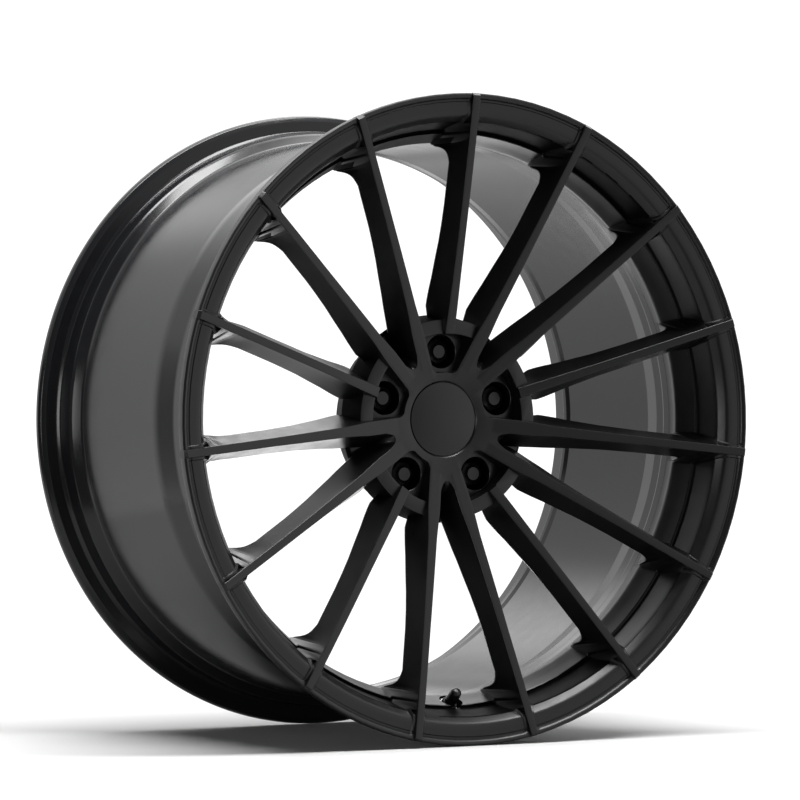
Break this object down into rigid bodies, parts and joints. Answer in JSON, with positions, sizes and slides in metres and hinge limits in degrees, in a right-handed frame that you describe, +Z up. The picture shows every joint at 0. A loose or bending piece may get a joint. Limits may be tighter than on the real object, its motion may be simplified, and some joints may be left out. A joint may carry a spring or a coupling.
{
  "type": "forged racing wheel rim",
  "caption": "Road and race car wheel rim with slender straight and V-paired spokes running to the lip, deep barrel, centre cap, closed lug nuts and a clamped tyre valve.",
  "frame": {"origin": "on the wheel's axis, half-way between the spoke tips and the rear flange's back face", "axes": "+Y along the wheel's axis, from the face to the rear; +Z up, with one lug hole straight above the axis and the valve straight below"},
  "size_m": [0.543, 0.2911, 0.543],
  "materials": {
    "face_paint": "forged aluminium, satin black powder coat",
    "barrel_paint": "rolled aluminium, gloss dark grey paint",
    "cap_paint": "satin black paint over moulded plastic",
    "emblem_paint": "thin aluminium disc, satin black",
    "black_steel": "black oxide",
    "black_anodised": "black anodised aluminium",
    "moulded_plastic": "fine moulded texture",
    "valve_cap_plastic": "satin",
    "seal_rubber": "matte",
    "spring_steel": "drawn wire",
    "zinc_steel": "zinc plated",
    "brass": "turned"
  },
  "bodies": {
    "wheel": {"barrel": "barrel_paint", "forged_centre": "face_paint", "hub_ring": "moulded_plastic", "valve_stem": "black_anodised", "valve_grommet": "seal_rubber", "valve_washer": "zinc_steel", "valve_nut": "black_anodised", "valve_core_body": "brass", "valve_core_seal": "seal_rubber", "valve_core_spring": "spring_steel"},
    "cap": {"centre_cap": "cap_paint", "cap_emblem": "emblem_paint", "cap_retaining_ring": "spring_steel"},
    "nut_1": {"lug_nut_1": "black_steel"},
    "nut_2": {"lug_nut_2": "black_steel"},
    "nut_3": {"lug_nut_3": "black_steel"},
    "nut_4": {"lug_nut_4": "black_steel"},
    "nut_5": {"lug_nut_5": "black_steel"},
    "core_pin": {"valve_core_pin": "brass", "valve_pin_seal": "seal_rubber"},
    "dust_cap": {"valve_cap": "valve_cap_plastic", "valve_cap_seal": "seal_rubber"}
  },
  "joints": [
    {"name": "cap_pull", "type": "slide", "parent": "wheel", "child": "cap", "axis": [0, -1, 0], "range_m": [0, 0.04]},
    {"name": "nut_1_off", "type": "slide", "parent": "wheel", "child": "nut_1", "axis": [0, -1, 0], "range_m": [0, 0.05]},
    {"name": "nut_2_off", "type": "slide", "parent": "wheel", "child": "nut_2", "axis": [0, -1, 0], "range_m": [0, 0.05]},
    {"name": "nut_3_off", "type": "slide", "parent": "wheel", "child": "nut_3", "axis": [0, -1, 0], "range_m": [0, 0.05]},
    {"name": "nut_4_off", "type": "slide", "parent": "wheel", "child": "nut_4", "axis": [0, -1, 0], "range_m": [0, 0.05]},
    {"name": "nut_5_off", "type": "slide", "parent": "wheel", "child": "nut_5", "axis": [0, -1, 0], "range_m": [0, 0.05]},
    {"name": "dust_cap_off", "type": "slide", "parent": "wheel", "child": "dust_cap", "axis": [0, -0.766, 0.6428], "range_m": [0, 0.025]},
    {"name": "core_pin_press", "type": "slide", "parent": "wheel", "child": "core_pin", "axis": [0, 0.766, -0.6428], "range_m": [0, 0.0015], "stiffness_N_per_m": 1500}
  ]
}
